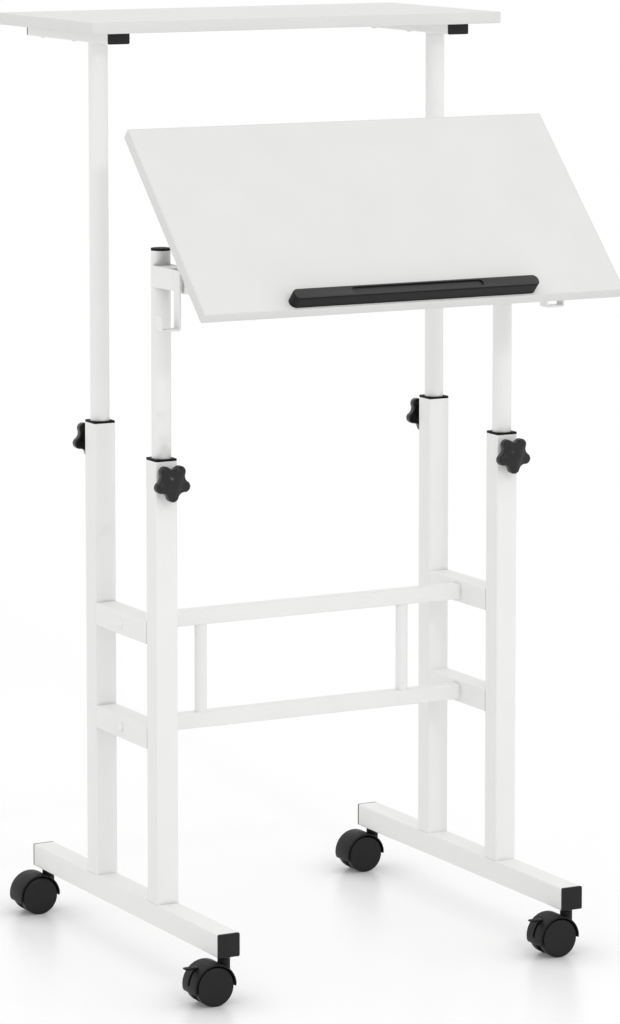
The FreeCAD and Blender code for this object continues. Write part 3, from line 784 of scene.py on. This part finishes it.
def board(size, place):
    """A board whose edge band stands as a narrow strip round both faces."""
    outline = rounded_rectangle(size.x, size.y, board_corner)
    bm = bmesh.new()
    top = [(shrunk(outline, band_width - band_groove), size.z),
           (shrunk(outline, band_width), size.z - band_groove),
           (shrunk(outline, band_width + band_groove), size.z)]
    bottom = [(points, size.z - height) for points, height in top[::-1]]
    bands = stack(bm, bottom + pillow(outline, 0, size.z, board_edge) + top, place)
    for face in [face for band in bands for face in band]:
        face.material_index = 1
    return bm


shelf_low, shelf_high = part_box("top_shelf")
shelf_middle = (shelf_low + shelf_high) / 2
shelf_seat = Matrix.Translation((shelf_middle.x, shelf_middle.y, shelf_low.z))
shelf = board(shelf_high - shelf_low, shelf_seat)
fit("shelf_board", shelf, [laminate, edge_band], "shelf_lift", "white_laminate_board", "top_shelf")


# Board screws: zinc plated pan heads with a cross recess, driven upwards into the boards.
# Two through each shelf arm, four through each panel bracket and three behind the pen ledge.
screw_head = 4 * mm
screw_shank = 2 * mm
screw_point = 0.3 * mm
screw_head_height = 2.2 * mm
screw_head_round = 1.4 * mm
screw_recess = 2.4 * mm
screw_recess_depth = 1.2 * mm
screw_recess_taper = 0.7
screw_recess_waist = 0.3  # reach between the arms of the cross, as a share
screw_recess_power = 12  # more makes the arms of the cross thinner
screw_points = 48
zinc_dark = (0.42, 0.42, 0.41, 1)
zinc_light = (0.58, 0.58, 0.57, 1)
zinc = grained("zinc_plate", zinc_dark, zinc_light, grain=2600.0, depth=0.03 * mm, rough=(0.24, 0.42),
               specular=0.5, mottle=220.0, strength=0.2)
zinc.node_tree.nodes["Principled BSDF"].inputs["Metallic"].default_value = 1.0


def cross_recess(radius):
    """A cross with rounded arms, its points in evenly spread directions."""
    points = []
    for x, y in circle(1, screw_points):
        arm = math.cos(2 * math.atan2(y, x)) ** screw_recess_power
        reach = radius * (screw_recess_waist + (1 - screw_recess_waist) * arm)
        points.append((x * reach, y * reach))
    return points


def pan_screw(bm, place, length):
    """A screw whose head stands up from its seat, the shank going down from it."""
    shank = circle(screw_shank, screw_points)
    head = circle(screw_head, screw_points)
    rows = [(circle(screw_point, screw_points), -length), (shank, -length + 2 * screw_shank), (shank, 0)]
    rows += eased(head, 0, screw_head_height, screw_head_round)
    rows.append((cross_recess(screw_recess), screw_head_height))
    rows.append((cross_recess(screw_recess * screw_recess_taper), screw_head_height - screw_recess_depth))
    stack(bm, rows, place)


def drive_screws(name, body, node, axes, bottom, top, across, along):
    """Screws driven upwards from bottom to top, one at each crossing of two sets of lines."""
    under = bottom + screw_head_height
    screws = bmesh.new()
    for x in across:
        for y in along:
            pan_screw(screws, axes @ seat((x, y, under), (0, 0, -1), (1, 0, 0)), top - under)
    fit(name, screws, [zinc], body, "zinc_steel", node)


low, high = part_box("shelf_screws")
across = (low.x + screw_head, high.x - screw_head)
along = (low.y + screw_head, high.y - screw_head)
upright = Matrix.Identity(4)
drive_screws("shelf_pan_screws", "shelf_lift", "shelf_screws", upright, low.z, high.z, across, along)


# Front posts: round steel posts that slide in the front columns and carry the tilting panel.
# Coated white, with a flat moulded cap in the open top.
post_cap_edge = 0.5 * mm
post_shade = (0.45, 0.45, 0.445, 1)
# Painted shade over a 120 mm reach darkens the posts' coat where the panel and the clevis close in, down
# to the post shade.
post_coat = coated("post_powder_coat", post_shade, Reach=120 * mm, Open=1.0, Shut=0.35)
dress(post_coat, "left_front_post", "right_front_post")
post_caps = bmesh.new()
post_cap_low, post_cap_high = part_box("front_post_caps")
for side, sign in sides:
    top = top_of(side + "_front_post")
    rows = slab(circle(post_radius - cap_plug_inset), post_cap_low.z - top.z, 0)
    rows += eased(circle(post_radius), 0, post_cap_high.z - top.z, post_cap_edge)
    stack(post_caps, rows, Matrix.Translation(top))
fit("post_caps", post_caps, [collar_black], "panel_lift", "black_plastic", "front_post_caps")


# Tilt clevises: steel channels welded to the front posts, two plates joined by a short web on top.
# The pivot bolt goes through both plates, into a nut welded to the inner one.
clevis_plate = 2 * mm
clevis_corner = 1.5 * mm
clevis_web_gap = 30 * mm
plate_edge = 0.35 * mm
pivot = joint_place["panel_tilt"]
pivot_bolt = 4 * mm
nuts = bmesh.new()
for side, sign in sides:
    low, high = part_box(side + "_tilt_clevis")
    middle = (low + high) / 2
    post_low, post_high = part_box(side + "_front_post")
    post_y = (post_low.y + post_high.y) / 2
    clevis = bmesh.new()
    cheek = rounded_rectangle(high.y - low.y, high.z - low.z, clevis_corner)
    for x in (low.x, high.x - clevis_plate):
        place = seat((x, middle.y, middle.z), (1, 0, 0), (0, 1, 0))
        stack(clevis, pillow(cheek, 0, clevis_plate, plate_edge), place)
        for y in (post_y - post_radius / 2, high.y):
            inside_x = x + clevis_plate if x < middle.x else x
            straight_bead(clevis, (inside_x, y, low.z), (inside_x, y, high.z), seam_radius)
    half = (high.x - low.x) / 2 - clevis_plate
    web_front = pivot.y + clevis_web_gap - post_y
    web_rear = high.y - post_y
    meeting = math.asin(web_rear / post_radius)
    web = [(-half, web_rear), (-half, web_front), (half, web_front), (half, web_rear)]
    web += arc(post_radius, meeting, -math.pi - meeting, 16)
    web_seat = Matrix.Translation((middle.x, post_y, high.z - clevis_plate))
    stack(clevis, pillow(web, 0, clevis_plate, plate_edge / 2), web_seat)
    # The clevis plates share the posts' coat and its painted shade.
    fit(side + "_clevis_plates", clevis, [post_coat], "panel_lift", "white_powder_coat",
        side + "_tilt_clevis")
    face_x = low.x if sign > 0 else high.x
    place = seat((face_x, pivot.y, pivot.z), (-sign, 0, 0), (0, 1, 0))
    bored(nuts, hexagon(nut_across), pivot_bolt + slide_room, nut_height, stem_edge, place)
fit("weld_nuts", nuts, [powder_coat], "panel_lift", "white_powder_coat", "pivot_nuts")


# Desk panel: the same laminated board as the shelf, held on two brackets by its pivots.
# Photographed at a steep slope, so everything on it is placed in its own tilted axes.
panel_slope = math.radians(45)
panel_axes = Matrix.Translation(pivot) @ Matrix.Rotation(panel_slope, 4, "X")


def box_on_panel(node):
    """A node's box in the panel's own axes, with the pivot at their origin."""
    level = panel_axes.inverted()
    points = [level @ vertex.co for vertex in frame["nodes"][node].data.vertices]
    low = Vector([min(point[axis] for point in points) for axis in range(3)])
    high = Vector([max(point[axis] for point in points) for axis in range(3)])
    return low, high


panel_low, panel_high = box_on_panel("desk_panel")
panel_middle = (panel_low + panel_high) / 2
panel_seat = panel_axes @ Matrix.Translation((panel_middle.x, panel_middle.y, panel_low.z))
panel = board(panel_high - panel_low, panel_seat)
fit("panel_board", panel, [laminate, edge_band], "panel", "white_laminate_board", "desk_panel")


# Panel brackets: folded steel, a flange under the panel and two cheeks that end in eyes.
# The eyes turn on the pivot bolts between nylon washers, and the flange is screwed to the panel.
bracket_plate = 2.5 * mm
bracket_eye = 14.5 * mm
flange_corner = 4 * mm
washer_radius = 7 * mm
washer_thickness = 1 * mm
washer_room = 0.15 * mm
washer_edge = 0.2 * mm
washer_gap = 0.1 * mm
nylon_light = (0.8, 0.8, 0.77, 1)
nylon_dark = (0.72, 0.72, 0.69, 1)
nylon = grained("natural_nylon", nylon_dark, nylon_light, grain=1500.0, depth=0.04 * mm,
                rough=(0.4, 0.5), specular=0.4)


def eye_tangent(reach, rise):
    """The direction in which a straight edge from the flange meets the round eye."""
    lean = math.acos(bracket_eye / math.hypot(reach, rise))
    return math.atan2(rise, reach) - math.copysign(lean, reach)


washers = bmesh.new()
for side, sign in sides:
    low, high = box_on_panel(side + "_panel_bracket")
    middle = (low + high) / 2
    clevis_low, clevis_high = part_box(side + "_tilt_clevis")
    eye_half = (clevis_high.x - clevis_low.x) / 2 - clevis_plate - washer_thickness - washer_gap
    flange_under = high.z - bracket_plate
    bracket = bmesh.new()
    flange = rounded_rectangle(high.x - low.x, high.y - low.y, flange_corner)
    flange_seat = panel_axes @ Matrix.Translation((middle.x, middle.y, flange_under))
    stack(bracket, pillow(flange, 0, bracket_plate, plate_edge), flange_seat)
    cheek = [(high.y, flange_under), (low.y, flange_under)]
    eye_start = eye_tangent(low.y, flange_under)
    eye_end = eye_tangent(high.y, flange_under) + 2 * math.pi
    cheek += arc(bracket_eye, eye_start, eye_end, 24)
    for x in (middle.x - eye_half, middle.x + eye_half - bracket_plate):
        cheek_seat = panel_axes @ seat((x, 0, 0), (1, 0, 0), (0, 1, 0))
        stack(bracket, pillow(cheek, 0, bracket_plate, plate_edge), cheek_seat)
    for step_x in (-1, 1):
        ring_seat = panel_axes @ seat((middle.x + step_x * eye_half, 0, 0), (step_x, 0, 0), (0, 1, 0))
        bored(washers, circle(washer_radius), pivot_bolt + washer_room, washer_thickness, washer_edge,
              ring_seat)
    fit(side + "_panel_bracket_plates", bracket, [powder_coat], "panel", "white_powder_coat",
        side + "_panel_bracket")
fit("nylon_washers", washers, [nylon], "panel", "nylon", "pivot_washers")
low, high = box_on_panel("panel_screws")
along = (low.y + screw_head, high.y - screw_head)
inset = box_on_panel("right_panel_bracket")[1].x - (high.x - screw_head)
across = []
for side, sign in sides:
    bracket_low, bracket_high = box_on_panel(side + "_panel_bracket")
    across += [bracket_low.x + inset, bracket_high.x - inset]
drive_screws("panel_pan_screws", "panel", "panel_screws", panel_axes, low.z, high.z, across, along)


# Pen ledge: a moulded black plastic bar along the lower edge of the panel, with a slot for a tablet.
# Screwed on from behind. Its face has a satin grain and a glossier finish, and its sides are a darker,
# duller copy of the plastic, painted shade on the faces that turn away from the light.
ledge_low, ledge_high = box_on_panel("pen_ledge")
ledge_middle = (ledge_low + ledge_high) / 2
ledge_corner = 8 * mm
ledge_edge = 2.5 * mm
slot_length = 187 * mm
slot_width = 10 * mm
slot_depth = 2.2 * mm
slot_lip = 0.3 * mm
slot_lip_middle = 0.3 * slot_lip
ledge_side_lean = math.radians(30)  # faces that lean further than this are sides
ledge_lit_face = grained("ledge_lit_face", moulded_dark, moulded_light, grain=1600.0, depth=0.04 * mm,
                     rough=(0.36, 0.44), specular=0.62)
ledge_shaded_sides = grained("ledge_shaded_sides", castor_dark, castor_light, grain=1600.0, depth=0.05 * mm,
                      rough=(0.42, 0.52), specular=0.18)
ledge = bmesh.new()
ledge_seat = panel_axes @ Matrix.Translation((ledge_middle.x, ledge_middle.y, ledge_low.z))
ledge_size = ledge_high - ledge_low
ledge_outline = rounded_rectangle(ledge_size.x, ledge_size.y, ledge_corner, 8)
slot_outline = rounded_rectangle(slot_length, slot_width, slot_width / 2 - cut_room, 8)
rows = eased(ledge_outline, 0, ledge_size.z, ledge_edge, 6)
rows.append((shrunk(slot_outline, -slot_lip), ledge_size.z))
rows.append((shrunk(slot_outline, -slot_lip_middle), ledge_size.z - slot_lip_middle))
rows += slab(slot_outline, ledge_size.z - slot_depth, ledge_size.z - slot_lip)[::-1]
stack(ledge, rows, ledge_seat)
panel_up = panel_axes.to_3x3() @ Vector((0, 0, 1))
# Faces that turn away from the panel's face take the shaded copy: painted shade chosen by direction.
for face in ledge.faces:
    face.normal_update()
    face.material_index = int(abs(face.normal.dot(panel_up)) < math.cos(ledge_side_lean))
fit("ledge_moulding", ledge, [ledge_lit_face, ledge_shaded_sides], "panel", "black_plastic", "pen_ledge")
low, high = box_on_panel("ledge_screws")
across = (low.x + screw_head, (low.x + high.x) / 2, high.x - screw_head)
along = (ledge_middle.y,)
drive_screws("ledge_pan_screws", "panel", "ledge_screws", panel_axes, low.z, high.z, across, along)


# Release levers: steel strips on the ends of the pivot bolts, bent out and up into a finger hook.
# The bolt is welded to the back of the strip, so the outside is plain. Both are coated white.
lever_thickness = 2.5 * mm
lever_bend = 0.5 * mm + lever_thickness / 2
lever_edge = 0.5 * mm
lever_lip_rise = 20 * mm
lever_shade = (0.6, 0.6, 0.59, 1)
# Painted shade over a 60 mm reach darkens the levers' coat in the hook and beside the clevis, down to the
# lever shade.
lever_coat = coated("lever_powder_coat", lever_shade, Reach=60 * mm, Open=1.0, Shut=0.3)


def bent_strip(turns, bend, steps=6):
    """Points along a strip's middle line, its turns rounded to the bend."""
    path = [Vector(turns[0])]
    for before, here, after in zip(turns, turns[1:], turns[2:]):
        here = Vector(here)
        back = (Vector(before) - here).normalized()
        ahead = (Vector(after) - here).normalized()
        start = here + back * bend
        centre = start + ahead * bend
        for turn in quarter_turn(steps):
            path.append(centre - ahead * bend * math.cos(turn) - back * bend * math.sin(turn))
    path.append(Vector(turns[-1]))
    return path


def lever_strip(bm, path, width):
    """A flat strip with eased ends along a path in the upright plane across the desk."""
    rings = []
    for index, point in enumerate(path):
        before = path[max(index - 1, 0)]
        after = path[min(index + 1, len(path) - 1)]
        heading = (after - before).normalized()
        normal = heading.cross(Vector((0, 1, 0)))
        places = [(point, 0)]
        if index == 0:
            places = [(point, lever_edge), (point + heading * lever_edge, 0)]
        if index == len(path) - 1:
            places = [(point - heading * lever_edge, 0), (point, lever_edge)]
        for place, ease in places:
            section = rounded_rectangle(lever_thickness - ease, width - ease, lever_edge, 3)
            rings.append([bm.verts.new(place + normal * x + Vector((0, y, 0))) for x, y in section])
    skin(bm, rings)


for side, sign in sides:
    low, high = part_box(side + "_tilt_lever")
    inner_x = high.x if sign < 0 else low.x
    outer_x = low.x if sign < 0 else high.x
    half = sign * lever_thickness / 2
    width = high.y - low.y
    lip_z = low.z + lever_thickness / 2
    turns = [(inner_x + half, pivot.y, high.z), (inner_x + half, pivot.y, lip_z),
             (outer_x - half, pivot.y, lip_z), (outer_x - half, pivot.y, low.z + lever_lip_rise)]
    lever = bmesh.new()
    lever_strip(lever, bent_strip(turns, lever_bend), width)
    fit(side + "_lever_strip", lever, [lever_coat], side + "_lever", "white_powder_coat",
        side + "_tilt_lever")
    low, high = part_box(side + "_pivot_bolt")
    bolt_seat = seat((low.x, pivot.y, pivot.z), (1, 0, 0), (0, 1, 0))
    bolt = bmesh.new()
    stack(bolt, pillow(circle(pivot_bolt), 0, high.x - low.x, stem_edge), bolt_seat)
    fit(side + "_lever_bolt", bolt, [powder_coat], side + "_lever", "white_powder_coat",
        side + "_pivot_bolt")


# Star knobs: moulded five-lobed knobs on steel studs that clamp the posts in the columns.
# The middle of the face is domed, the back is hollowed round the neck, and one lobe points down.
lobes = 5
lobe_radius = 7.4 * mm
lobe_centre = 17.3 * mm
valley_centre = 26.2 * mm
neck_radius = 9 * mm
neck_length = 4 * mm
knob_height = 20 * mm
knob_wall = 2.4 * mm
knob_hollow = 6 * mm
knob_rim = ((knob_wall, 0.5 * mm), (1.7 * mm, 0), (0.8 * mm, 0), (0, 0.8 * mm))  # inset and rise
knob_side = 11.4 * mm
knob_round = 3.6 * mm
knob_ball = 19.5 * mm  # radius of the ball that the face is part of
knob_face = ((0.35, 12), (0.7, 11), (1, 10), (1, 8), (1, 6), (1, 4), (1, 2))  # roundness, radius in mm
knob_points = 120
knob_black = grained("knob_plastic", moulded_dark, moulded_light, grain=1400.0, depth=0.04 * mm,
                     rough=(0.2, 0.28), specular=0.32)


def star(inset=0):
    """The knob's outline, lobes and valleys flowing into each other."""
    half_step = math.pi / lobes
    span = math.dist((lobe_centre, 0), polar(valley_centre, half_step))
    lobe = lobe_radius - inset
    valley = span - lobe
    tip = Vector((lobe_centre, 0))
    meeting = tip + (Vector(polar(valley_centre, half_step)) - tip) * lobe / span
    points = []
    for step in range(knob_points):
        angle = 2 * math.pi * step / knob_points
        off = abs((angle + half_step) % (2 * half_step) - half_step)
        centre, radius, bulge = lobe_centre, lobe, 1
        if off > math.atan2(meeting.y, meeting.x):
            off = half_step - off
            centre, radius, bulge = valley_centre, valley, -1
        rise = math.sqrt(radius ** 2 - (centre * math.sin(off)) ** 2)
        points.append(polar(centre * math.cos(off) + bulge * rise, angle))
    return points


def mixed(first, second, share):
    """Points that lie a share of the way from one outline to another."""
    return [tuple(Vector(a).lerp(Vector(b), share)) for a, b in zip(first, second)]


def star_knob(bm, place):
    """A knob's head, from the end of its neck over the hollow back to the face."""
    hub = circle(neck_radius, knob_points)
    floor = neck_length + knob_hollow
    rows = [(shrunk(hub, stem_edge), 0), (hub, stem_edge), (hub, floor), (star(knob_wall), floor)]
    for inset, rise in knob_rim:
        rows.append((star(inset), neck_length + rise))
    for turn in quarter_turn(5):
        rows.append((star(knob_round * (1 - math.cos(turn))), knob_side + knob_round * math.sin(turn)))
    edge = star(knob_round + mm)
    for roundness, radius in knob_face:
        drop = knob_ball - math.sqrt(knob_ball ** 2 - (radius * mm) ** 2)
        rows.append((mixed(edge, circle(radius * mm, knob_points), roundness), knob_height - drop))
    stack(bm, rows, place)


for corner, outwards in corners:
    knob = corner + "_knob"
    low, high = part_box(knob)
    centre = joint_place[knob + "_turn"]
    front = high.y if outwards > 0 else low.y
    neck = front - outwards * knob_height
    stud_length = high.y - low.y - knob_height
    place = seat((centre.x, neck, centre.z), (0, outwards, 0), (0, 0, -1))
    head = bmesh.new()
    star_knob(head, place)
    stack(head, slab(circle(stud_radius), -stud_length, 0), place)
    fit(knob + "_moulding", head, [knob_black], knob, "black_plastic", knob)


# Studio: a plain white floor that runs out of sight under soft, even light from all round.
# A lamp high at the front gives the black pieces a glint, and painted shadow darkens the floor close under
# the desk.
floor_size = 14.0
floor_corner = 1.0
floor_thickness = 0.02
floor_light = (0.93, 0.93, 0.93, 1)
# the colour of the floor's painted shadow
floor_shadow_colour = (0.7, 0.7, 0.7, 1)
floor_lift = 0.07
sky_strength = 0.97
background_strength = 1.0
scene = bpy.context.scene
scene.view_settings.view_transform = "Standard"


def shown_rays(tree):
    """1 for rays from the camera, straight or by way of a gloss or a clear piece, and 0 for the rest."""
    rays = put(tree, "LightPath").outputs
    shown = rays["Is Camera Ray"]
    for kind in ("Is Glossy Ray", "Is Transmission Ray"):
        shown = put(tree, "Math", {0: shown, 1: rays[kind]}, operation="MAXIMUM").outputs["Value"]
    return shown


ground = bmesh.new()
ground_outline = rounded_rectangle(floor_size, floor_size, floor_corner)
stack(ground, slab(ground_outline, -floor_thickness, 0), Matrix.Identity(4))
floor = bpy.data.objects.new("floor", to_mesh("floor", ground))
scene.collection.objects.link(floor)
floor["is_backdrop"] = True
floor_paint, tree, shader = new_material("studio_floor", 0.3)
# Painted shadow on the floor, from ambient occlusion within 75 mm.
floor_shadow_mask = place_group(tree, corner_shade, {"Reach": 75 * mm, "Open": 0.98, "Shut": 0.55})["Depth"]
floor_colour = ramp(tree, floor_shadow_mask, floor_light, floor_shadow_colour, 0.0, 1.0)
tree.links.new(floor_colour.outputs["Color"], shader["Base Color"])
shader["Roughness"].default_value = 0.3
shader["Emission Color"].default_value = (1, 1, 1, 1)
tree.links.new(between(tree, shown_rays(tree), 0.0, floor_lift), shader["Emission Strength"])
floor.data.materials.append(floor_paint)

world = bpy.data.worlds.new("studio")
scene.world = world
world.use_nodes = True
tree = world.node_tree
backdrop = tree.nodes["Background"]
backdrop.inputs["Color"].default_value = (1, 1, 1, 1)
strength = between(tree, shown_rays(tree), sky_strength, background_strength)
tree.links.new(strength, backdrop.inputs["Strength"])


def soft_lamp(name, place, aim, size, power):
    """A round lamp turned towards its aim."""
    lamp = bpy.data.lights.new(name, "AREA")
    lamp.shape = "DISK"
    lamp.size = size
    lamp.energy = power
    thing = bpy.data.objects.new(name, lamp)
    thing.location = place
    thing.rotation_euler = (Vector(aim) - Vector(place)).to_track_quat("-Z", "Y").to_euler()
    scene.collection.objects.link(thing)


soft_lamp("key_lamp", place=(-0.2, -3.7, 2.4), aim=(0, 0, 0.5), size=0.3, power=13)


# Camera: a long lens a little above the desk, at the photograph's angle and framing.
# A part of the lens's downward view is shift, which keeps the posts nearly upright in the picture.
camera_place = (-2.7032, -5.0517, 1.4991)
camera_heading = math.radians(28.205)
camera_dip = math.radians(6.623)
camera_focal_pixels = 4426.4
picture_height_pixels = 1024
camera_shift = -0.2
lens = bpy.data.cameras.new("camera")
lens.sensor_width = 36.0
lens.lens = camera_focal_pixels / picture_height_pixels * lens.sensor_width
lens.shift_y = camera_shift
lens.clip_end = 100.0
camera = bpy.data.objects.new("camera", lens)
camera.location = camera_place
camera.rotation_euler = (math.pi / 2 - camera_dip, 0, -camera_heading)
scene.collection.objects.link(camera)
scene.camera = camera


# The lowest and the highest corner of all shown pieces, in metres, leaving out the floor.
low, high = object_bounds()
